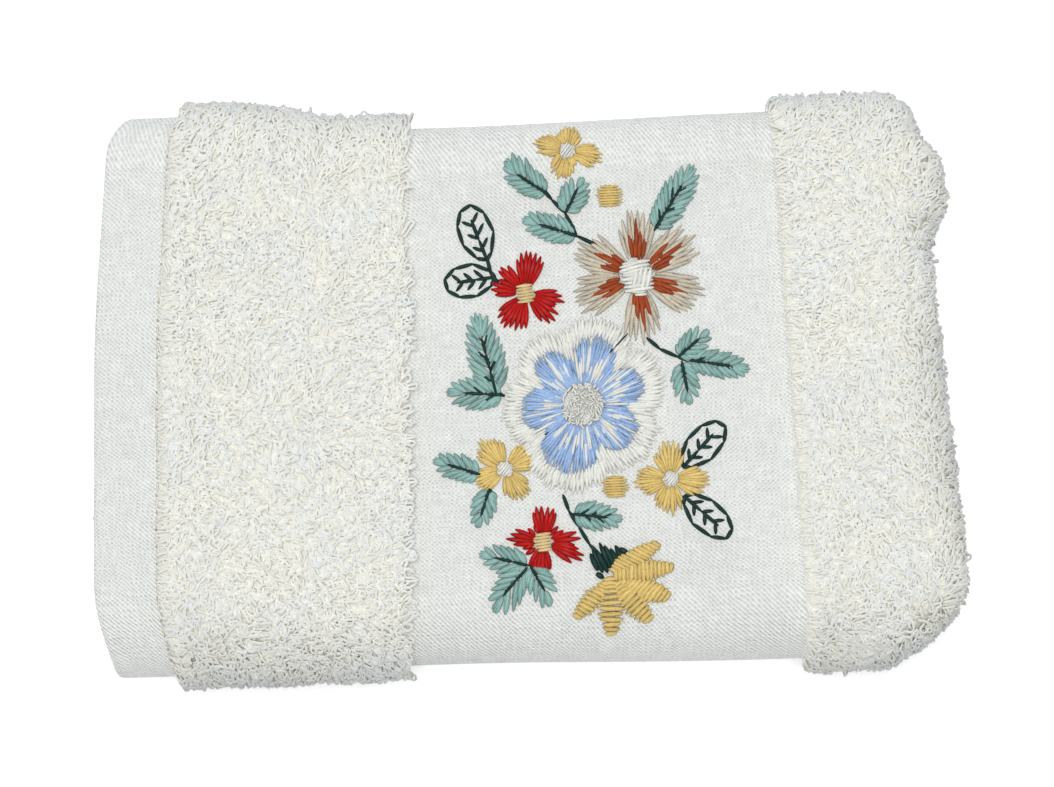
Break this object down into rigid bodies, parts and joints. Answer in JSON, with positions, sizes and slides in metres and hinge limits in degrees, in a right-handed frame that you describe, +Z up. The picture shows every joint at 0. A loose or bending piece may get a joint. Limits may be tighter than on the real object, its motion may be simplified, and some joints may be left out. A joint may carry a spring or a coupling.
{
  "type": "hand towel, folded",
  "caption": "White terry hand towel with a flat woven band of embroidered flowers, folded in quarters and then in thirds to a flat bundle.",
  "frame": {"origin": "on the surface under the middle of the folded towel's bounding box", "axes": "+X runs along the bundle's longer side from the hem to the fold, +Y runs across it to the back, +Z is up"},
  "size_m": [0.195, 0.1346, 0.0386],
  "materials": {
    "terry": "white cotton terry with a flat woven band and hem, matt",
    "thread": "embroidery thread in several colours, soft satin sheen"
  },
  "bodies": {
    "root": {"towel": "terry"}
  },
  "joints": []
}
